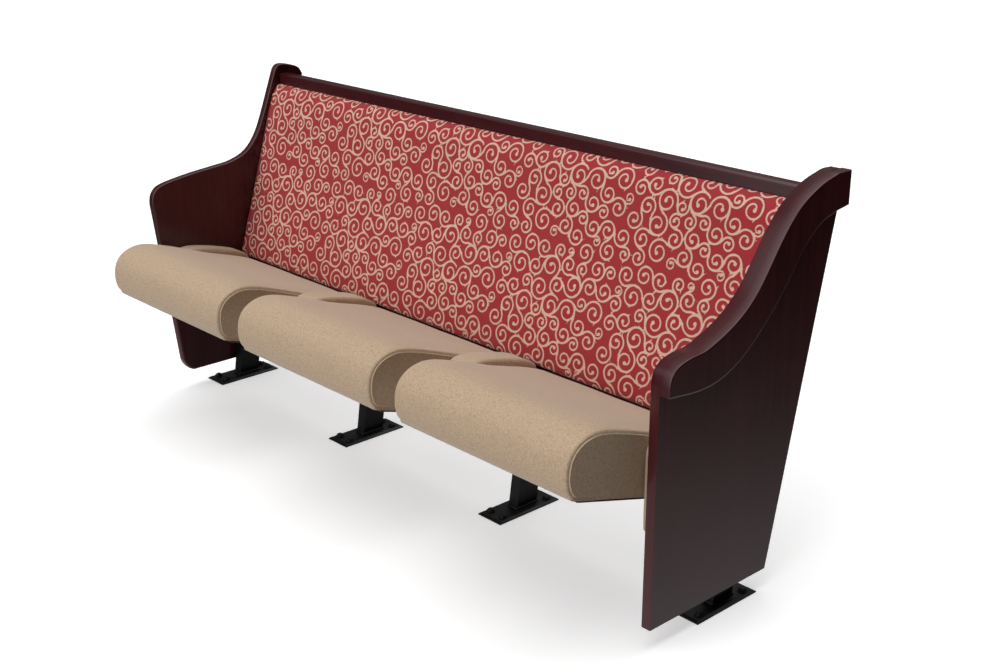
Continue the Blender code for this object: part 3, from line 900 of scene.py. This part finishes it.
def hinge_cutter(number, word, sign, x_out):
    """A prism round a hinge plate, reaching out through the seat's side and down to its pan."""
    loop = offset(middle_section(f"hinge_plate_{number}_{word}"), HINGE_POCKET)
    ends = sorted((x_out, x_out - sign * HINGE_INWARD))
    return slab("cutter", loop, *ends, (0, 0))


def seat_master():
    """One seat's cover, made round the middle seat's own place."""
    node = "seat_cushion_2"
    low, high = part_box(node)
    loop = smooth(middle_section(node), SEAT_CELL, clear=CORNER_CLEAR)
    sizes = (SEAT_SHRINK, SEAT_EDGE, SEAT_CELL, SEAT_VOXEL, SEAT_CAP)
    cover = upholstered("seat_master", loop, low.x, high.x, sizes)
    co = points_of(cover)
    front, rear = pan_front_and_rear()
    run = Vector(rear) - Vector(front)
    normal = np.array((-run.y, run.x)) / run.length
    height = (co[:, 1:] - np.array(front)) @ normal
    near_pan = height < SEAT_SHRINK * 2.5
    co[near_pan, 1:] += (PAN_GAP - height[near_pan])[:, None] * normal
    move_points(cover, co)
    seams = [seam(cover, loop, x, sign) for sign, x in ((-1, low.x), (1, high.x))]
    cutters = [hinge_cutter(2, word, sign, (low.x if sign < 0 else high.x) + sign * HINGE_OUTWARD)
               for word, sign in SIDES.items()]
    cut_with(cover, cutters)
    return cover, seams


def pan_front_and_rear():
    """The two ends of the line where the cushion rests on its pan."""
    outline = middle_section("seat_pan_2")
    across, up = PAN_NORMAL
    front = max(outline, key=lambda p: p[0] * across + p[1] * up)
    rear = max(outline, key=lambda p: p[0] * up - p[1] * across)
    return tuple(front), tuple(rear)


def seam(cover, loop, x, sign):
    """A fine raised seam where the seat's side joins its top, laid on the cover itself."""
    bm = bmesh.new()
    bm.from_mesh(cover.data)
    tree = BVHTree.FromBMesh(bm)
    bm.free()
    inner = offset(loop, -SEAM_ROOT)
    turned = offset(loop, 1) - loop
    centres = []
    for (y, z), (ny, nz) in zip(inner, turned):
        inside = Vector((x - sign * SEAM_ROOT, y, z))
        towards = Vector((sign, ny, nz)).normalized()
        hit, normal, _, _ = tree.ray_cast(inside, towards)
        if hit and nz > -0.75:
            centres.append(hit - normal * SEAM_SUNK)
    return tube("seam", evened(centres), SEAM_RADIUS)


def evened(points):
    """Start an open run of points after its longest gap, and soften it."""
    steps = [(points[i] - points[i - 1]).length for i in range(len(points))]
    start = steps.index(max(steps))
    run = points[start:] + points[:start]
    for _ in range(3):
        run = [run[0]] + [(a + b * 2 + c) / 4 for a, b, c in zip(run, run[1:], run[2:])] + [run[-1]]
    return run


def tube(name, centres, radius, around=8):
    """A thin round cord along an open line of points."""
    rings = []
    for i, centre in enumerate(centres):
        ahead = (centres[min(i + 1, len(centres) - 1)] - centres[max(i - 1, 0)]).normalized()
        side = ahead.cross(Vector((1, 0, 0)))
        side = side.normalized() if side.length > 0.01 else Vector((0, 1, 0))
        other = ahead.cross(side)
        turns = [2 * math.pi * k / around for k in range(around)]
        rings.append([centre + side * radius * math.cos(t) + other * radius * math.sin(t) for t in turns])
    return skin(name, rings)


def copied(piece, name, shift):
    made = mesh_object(name, piece.data.copy())
    made.data.transform(Matrix.Translation(shift))
    return made


def seats(cloth):
    """The three seats' covers, and the seams along their sides."""
    cover, seams = seat_master()
    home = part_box("seat_cushion_2")[0].x
    for number in range(1, SEATS + 1):
        shift = Vector((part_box(f"seat_cushion_{number}")[0].x - home, 0, 0))
        body = f"seat_{number}"
        piece = copied(cover, f"seat_cover_{number}", shift)
        add(piece, cloth, body, "tan_fabric", f"seat_cushion_{number}")
        for word, line in zip(SIDES, seams):
            add(copied(line, f"seat_seam_{number}_{word}", shift), cloth, body, "tan_fabric")
    for master in (cover, *seams):
        bpy.data.objects.remove(master)


def fillers(cloth):
    """The soft blocks between and beside the seats, each slotted for its standard."""
    for number in range(1, STANDARDS + 1):
        node = f"filler_{number}"
        low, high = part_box(node)
        x = low.x + FILLER_SECTION if number == STANDARDS else high.x - FILLER_SECTION
        loop = smooth(section(node, x), FILLER_CELL, clear=CORNER_CLEAR)
        sizes = (FILLER_SHRINK, FILLER_EDGE, FILLER_CELL, FILLER_VOXEL, FILLER_CAP)
        cover = upholstered(f"filler_cover_{number}", loop, low.x, high.x, sizes)
        post_low, post_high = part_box(f"standard_{number}")
        post = offset(middle_section(f"standard_{number}"), POST_ROOM)
        ends = (post_low.x - POST_SIDE_ROOM, post_high.x + POST_SIDE_ROOM)
        cut_with(cover, [slab("cutter", post, *ends, (0, 0))])
        add(cover, cloth, "frame", "tan_fabric", node)


def ease(node, width):
    """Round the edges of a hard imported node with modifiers, which leave its own mesh alone."""
    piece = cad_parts[node]
    weld = piece.modifiers.new("weld", "WELD")
    weld.merge_threshold = 0.00003
    flats = piece.modifiers.new("flats", "DECIMATE")
    flats.decimate_type = "DISSOLVE"
    flats.angle_limit = math.radians(1)
    bevel = piece.modifiers.new("edges", "BEVEL")
    bevel.width = width
    bevel.segments = 2
    bevel.limit_method = "ANGLE"
    bevel.angle_limit = math.radians(35)
    bevel.harden_normals = True
    return piece


def metalwork(paint, bright, plastic, board):
    """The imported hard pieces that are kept, with eased edges and their own materials."""
    for number in range(1, STANDARDS + 1):
        dress(ease(f"foot_plate_{number}", PLATE_EDGE), paint)
        dress(ease(f"standard_{number}", POST_EDGE), paint)
        dress(ease(f"stop_rod_{number}", ROD_EDGE), paint)
        dress(ease(f"pivot_pin_{number}", ROD_EDGE), bright)
        for index in range(1, BOLTS + 1):
            dress(ease(f"anchor_bolt_{number}_{index}", BOLT_EDGE), paint)
    for number in range(1, SEATS + 1):
        dress(ease(f"seat_pan_{number}", PAN_EDGE), board)
        for word in SIDES:
            dress(ease(f"hinge_plate_{number}_{word}", PLATE_EDGE), paint)
            dress(ease(f"bushing_{number}_{word}", BUSHING_EDGE), plastic)


def dome(centre, axis, radius, height, socket):
    """A low round screw head, turned about an axis, with a hollow for the driver."""
    profile = [(0.0, radius), (height * 0.35, radius), (height * 0.75, radius * 0.86),
               (height, radius * 0.55), (height, socket), (height * 0.45, socket * 0.92)]
    axis = Vector(axis).normalized()
    side = axis.orthogonal().normalized()
    other = axis.cross(side)
    turns = [2 * math.pi * k / 24 for k in range(24)]
    rings = [[Vector(centre) + axis * along + (side * math.cos(t) + other * math.sin(t)) * r
              for t in turns] for along, r in profile]
    return skin("head", rings)


def joined(name, parts):
    """Several small pieces as one."""
    bm = bmesh.new()
    for part in parts:
        bm.from_mesh(part.data)
        bpy.data.objects.remove(part)
    mesh = bpy.data.meshes.new(name)
    bm.to_mesh(mesh)
    bm.free()
    mesh.shade_smooth()
    mesh.set_sharp_from_angle(angle=math.radians(40))
    return mesh_object(name, mesh)


def rear_of(loop, height):
    """The furthest point back on an outline at a height, and the outward normal there."""
    for (y0, z0), (y1, z1) in zip(loop, np.roll(loop, -1, axis=0)):
        if z0 < height <= z1:
            share = (height - z0) / (z1 - z0)
            length = math.dist((y0, z0), (y1, z1))
            return (y0 + (y1 - y0) * share, height), ((z1 - z0) / length, (y0 - y1) / length)


def fixings(paint, screw):
    """Weld beads round the columns, and screws in the arms and under the pans."""
    for number in range(1, STANDARDS + 1):
        low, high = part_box(f"standard_{number}")
        post = middle_section(f"standard_{number}")
        bead = line_round_post(low.x, high.x, post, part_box(f"foot_plate_{number}")[1].z)
        add(weld_bead(f"weld_bead_{number}", bead), paint, "frame", "black_steel")
        heads = []
        for height in ARM_SCREWS:
            (y, z), (ny, nz) = rear_of(post, height)
            heads.append(dome(((low.x + high.x) / 2, y, z), (0, ny, nz), *ARM_HEAD))
        add(joined(f"arm_screws_{number}", heads), screw, "frame", "bolt_steel")
    pan = middle_section("seat_pan_2")
    across, up = PAN_NORMAL
    under = pan[np.argsort(pan[:, 1] * up - pan[:, 0] * across)[:2]]
    under = under[np.argsort(under[:, 0])]
    run = Vector(under[1]) - Vector(under[0])
    down = Vector((run.y, -run.x)) / run.length
    for number in range(1, SEATS + 1):
        low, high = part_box(f"seat_pan_{number}")
        heads = []
        for share in PAN_SCREWS_ACROSS:
            for along in PAN_SCREWS_ALONG:
                y, z = Vector(under[0]) + run * along
                heads.append(dome((low.x + (high.x - low.x) * share, y, z), (0, *down), *PAN_HEAD))
        add(joined(f"pan_screws_{number}", heads), screw, f"seat_{number}", "bolt_steel")


def line_round_post(x_low, x_high, post, plate_top):
    """The closed line of the weld, round a column's foot on its plate."""
    foot = post[post[:, 1] < plate_top + FOOT_BAND]
    front, rear = foot[:, 0].min(), foot[:, 0].max()
    corners = [(x_low, front), (x_high, front), (x_high, rear), (x_low, rear)]
    line = []
    for (x0, y0), (x1, y1) in zip(corners, corners[1:] + corners[:1]):
        steps = max(2, round(math.dist((x0, y0), (x1, y1)) / WELD_STEP))
        line += [Vector((x0 + (x1 - x0) * s / steps, y0 + (y1 - y0) * s / steps, plate_top + WELD_RAISE))
                 for s in range(steps)]
    return line


def weld_bead(name, centres):
    """A rippled fillet of weld along a closed line on the plate."""
    rings = []
    count = len(centres)
    for i, centre in enumerate(centres):
        ahead = (centres[(i + 1) % count] - centres[i - 1]).normalized()
        side = ahead.cross(Vector((0, 0, 1)))
        size = WELD_RADIUS * (1 + 0.12 * math.sin(i * 2.1))
        turns = [2 * math.pi * k / 8 for k in range(8)]
        rings.append([centre + side * size * math.cos(t) + Vector((0, 0, 1)) * size * math.sin(t)
                      for t in turns])
    return skin(name, rings, wrapped=True)


# Stage

def camera():
    """The view: right of the pew, looking down on its front."""
    data = bpy.data.cameras.new("camera")
    data.lens = CAMERA_LENS
    data.sensor_width = CAMERA_SENSOR
    made = bpy.data.objects.new("camera", data)
    made.location = CAMERA_AT
    made.rotation_euler = (math.pi / 2 - CAMERA_DIP, 0, CAMERA_TURN)
    bpy.context.scene.collection.objects.link(made)
    bpy.context.scene.camera = made


def floor():
    """A wide pale floor, which leaves the light on the pew to the studio."""
    half = 120
    corners = [(-half, -half, 0), (half, -half, 0), (half, half, 0), (-half, half, 0)]
    mesh = bpy.data.meshes.new("floor")
    mesh.from_pydata(corners, [], [(0, 1, 2, 3)])
    made = mesh_object("floor", mesh)
    made.location.z = -0.0003
    made.visible_diffuse = False
    made.visible_glossy = False
    made.visible_shadow = False
    dress(made, pale_floor("floor"))


def sky():
    """A plain dome of soft light: a wide glow above the front, and light thrown up by the floor."""
    world = bpy.data.worlds.new("studio")
    bpy.context.scene.world = world
    world.use_nodes = True
    tree = world.node_tree

    def math_of(operation, first, second=0.5):
        return new_node(tree, "ShaderNodeMath", {0: first, 1: second}, operation=operation).outputs[0]

    def towards(direction):
        inputs = {0: place, 1: Vector(direction).normalized()}
        return new_node(tree, "ShaderNodeVectorMath", inputs, operation="DOT_PRODUCT").outputs["Value"]

    def ramp(value, low, high, to_low, to_high):
        inputs = {"Value": value, "From Min": low, "From Max": high, "To Min": to_low, "To Max": to_high}
        return new_node(tree, "ShaderNodeMapRange", inputs, interpolation_type="SMOOTHSTEP").outputs[0]

    place = new_node(tree, "ShaderNodeTexCoord").outputs["Generated"]
    height = new_node(tree, "ShaderNodeSeparateXYZ", {0: place}).outputs["Z"]
    right = towards((1, 0, 0))
    aside = math_of("ABSOLUTE", math_of("ADD", right, STRIP_LEFT))
    strip = math_of("MULTIPLY", ramp(towards(STRIP_OVER), *STRIP_REACH, 0, STRIP),
                    ramp(aside, *STRIP_SIDES, 1, 0))
    patch = ramp(towards(PATCH_FROM), *PATCH_EDGE, 0, PATCH)
    above = math_of("MULTIPLY", ramp(height, *SKY_EDGE, HORIZON, SKY),
                    ramp(right, *SHADE_EDGE, 1, RIGHT_SHADE))
    below = ramp(height, *GROUND_EDGE, GROUND, 0)
    total = math_of("ADD", math_of("ADD", strip, patch), math_of("ADD", above, below))
    tree.links.new(total, tree.nodes["Background"].inputs["Strength"])
    tree.nodes["Background"].inputs["Color"].default_value = (1, 1, 1, 1)


def build():
    """The stage, then every piece with its material."""
    scene = bpy.context.scene
    scene.view_settings.view_transform = "Standard"
    camera()
    floor()
    sky()
    cloth = tan_cloth("tan_cloth")
    paint = painted_steel("black_paint")
    wood = stained_wood("stained_wood", 1)
    wooden_ends(wood)
    rails(stained_wood("rail_wood", 3, True))
    back_cloth()
    seats(cloth)
    fillers(cloth)
    metalwork(paint, bare_steel("bright_steel", (0.55, 0.55, 0.57), 0.25), nylon("nylon"),
              pan_board("pan_board"))
    fixings(paint, bare_steel("screw_steel", (0.30, 0.30, 0.31), 0.32))


build()
